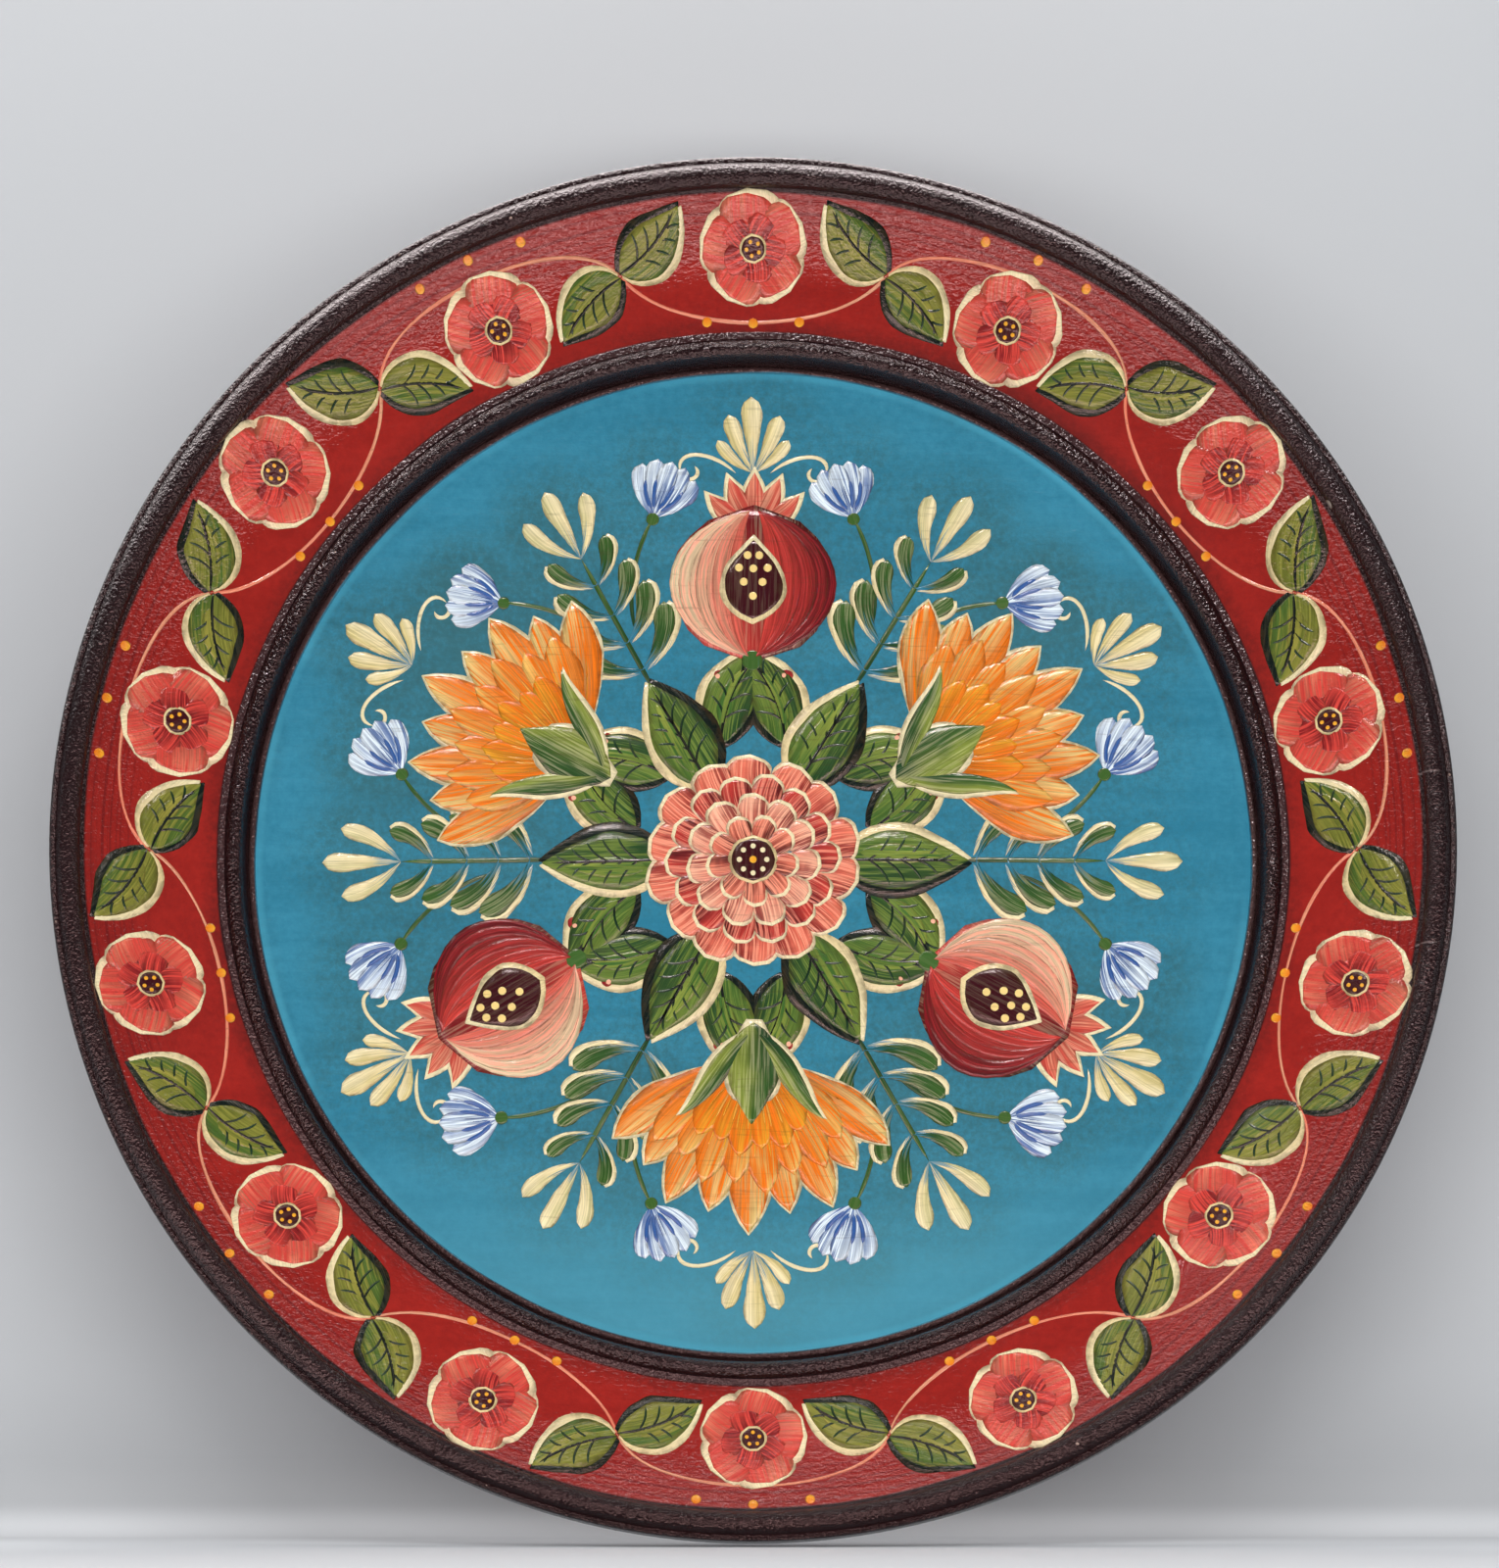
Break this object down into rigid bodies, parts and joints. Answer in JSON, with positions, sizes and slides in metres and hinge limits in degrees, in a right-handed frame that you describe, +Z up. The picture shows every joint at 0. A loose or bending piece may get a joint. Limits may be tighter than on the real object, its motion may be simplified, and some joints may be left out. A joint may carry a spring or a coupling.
{
  "type": "painted wooden plate",
  "caption": "Turned wooden wall plate glued from staves, with a coved rim, beaded mouldings, a dished painted field, a foot ring and a sawtooth hanger on the back.",
  "frame": {"origin": "centre of the bounding box at the lowest point of the plate's edge", "axes": "+Z up as the plate is shown, standing on its edge; -Y out of the painted face; +Y out of the back; +X to the right as the face is seen"},
  "size_m": [0.356, 0.038, 0.356],
  "materials": {
    "painted_wood": "brushed oil or acrylic paint over turned wood, satin varnish",
    "brassed_strip": "brass-plated steel strip",
    "steel_nail": "bright steel"
  },
  "bodies": {
    "root": {"stave_1": "painted_wood", "stave_2": "painted_wood", "stave_3": "painted_wood", "stave_4": "painted_wood", "stave_5": "painted_wood", "stave_6": "painted_wood", "stave_7": "painted_wood", "stave_8": "painted_wood", "stave_9": "painted_wood", "sawtooth_hanger": "brassed_strip", "hanger_nail_left": "steel_nail", "hanger_nail_right": "steel_nail"}
  },
  "joints": []
}
